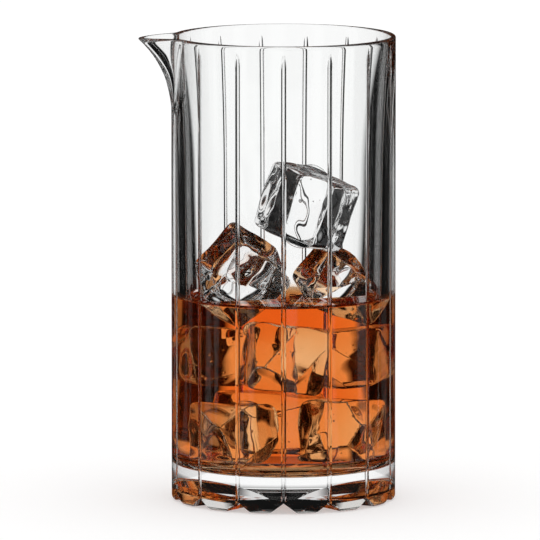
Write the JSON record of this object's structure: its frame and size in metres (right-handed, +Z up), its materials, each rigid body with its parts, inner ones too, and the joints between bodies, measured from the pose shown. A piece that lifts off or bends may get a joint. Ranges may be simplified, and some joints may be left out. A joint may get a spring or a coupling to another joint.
{
  "type": "cocktail pitcher",
  "caption": "Straight-sided clear glass cocktail pitcher with a pinched spout, upright flutes and a notched foot, holding an amber drink and ice cubes, some of which lift out.",
  "frame": {"origin": "the middle of the underside, on the plane the pitcher stands on", "axes": "+Z up the pitcher's axis to the lip; the spout points along -X"},
  "size_m": [0.0965, 0.084, 0.1746],
  "materials": {
    "clear_glass": "polished",
    "amber_drink": "gloss",
    "clear_ice": "gloss"
  },
  "bodies": {
    "pitcher": {"glass": "clear_glass", "drink": "amber_drink", "ice_floor_left": "clear_ice", "ice_floor_right": "clear_ice", "ice_floor_back": "clear_ice", "ice_middle_right": "clear_ice", "ice_middle_left": "clear_ice", "ice_middle_front": "clear_ice"},
    "upper_right_cube": {"ice_upper_right": "clear_ice"},
    "upper_left_cube": {"ice_upper_left": "clear_ice"},
    "top_cube": {"ice_top": "clear_ice"}
  },
  "joints": [
    {"name": "upper_right_cube_lift", "type": "slide", "parent": "pitcher", "child": "upper_right_cube", "axis": [0, 0, 1], "range_m": [0, 0.115], "deforming": ["drink"]},
    {"name": "upper_left_cube_lift", "type": "slide", "parent": "upper_right_cube", "child": "upper_left_cube", "axis": [0, 0, 1], "range_m": [0, 0.115], "deforming": ["drink"]},
    {"name": "top_cube_lift", "type": "slide", "parent": "upper_left_cube", "child": "top_cube", "axis": [0, 0, 1], "range_m": [0, 0.088]}
  ]
}
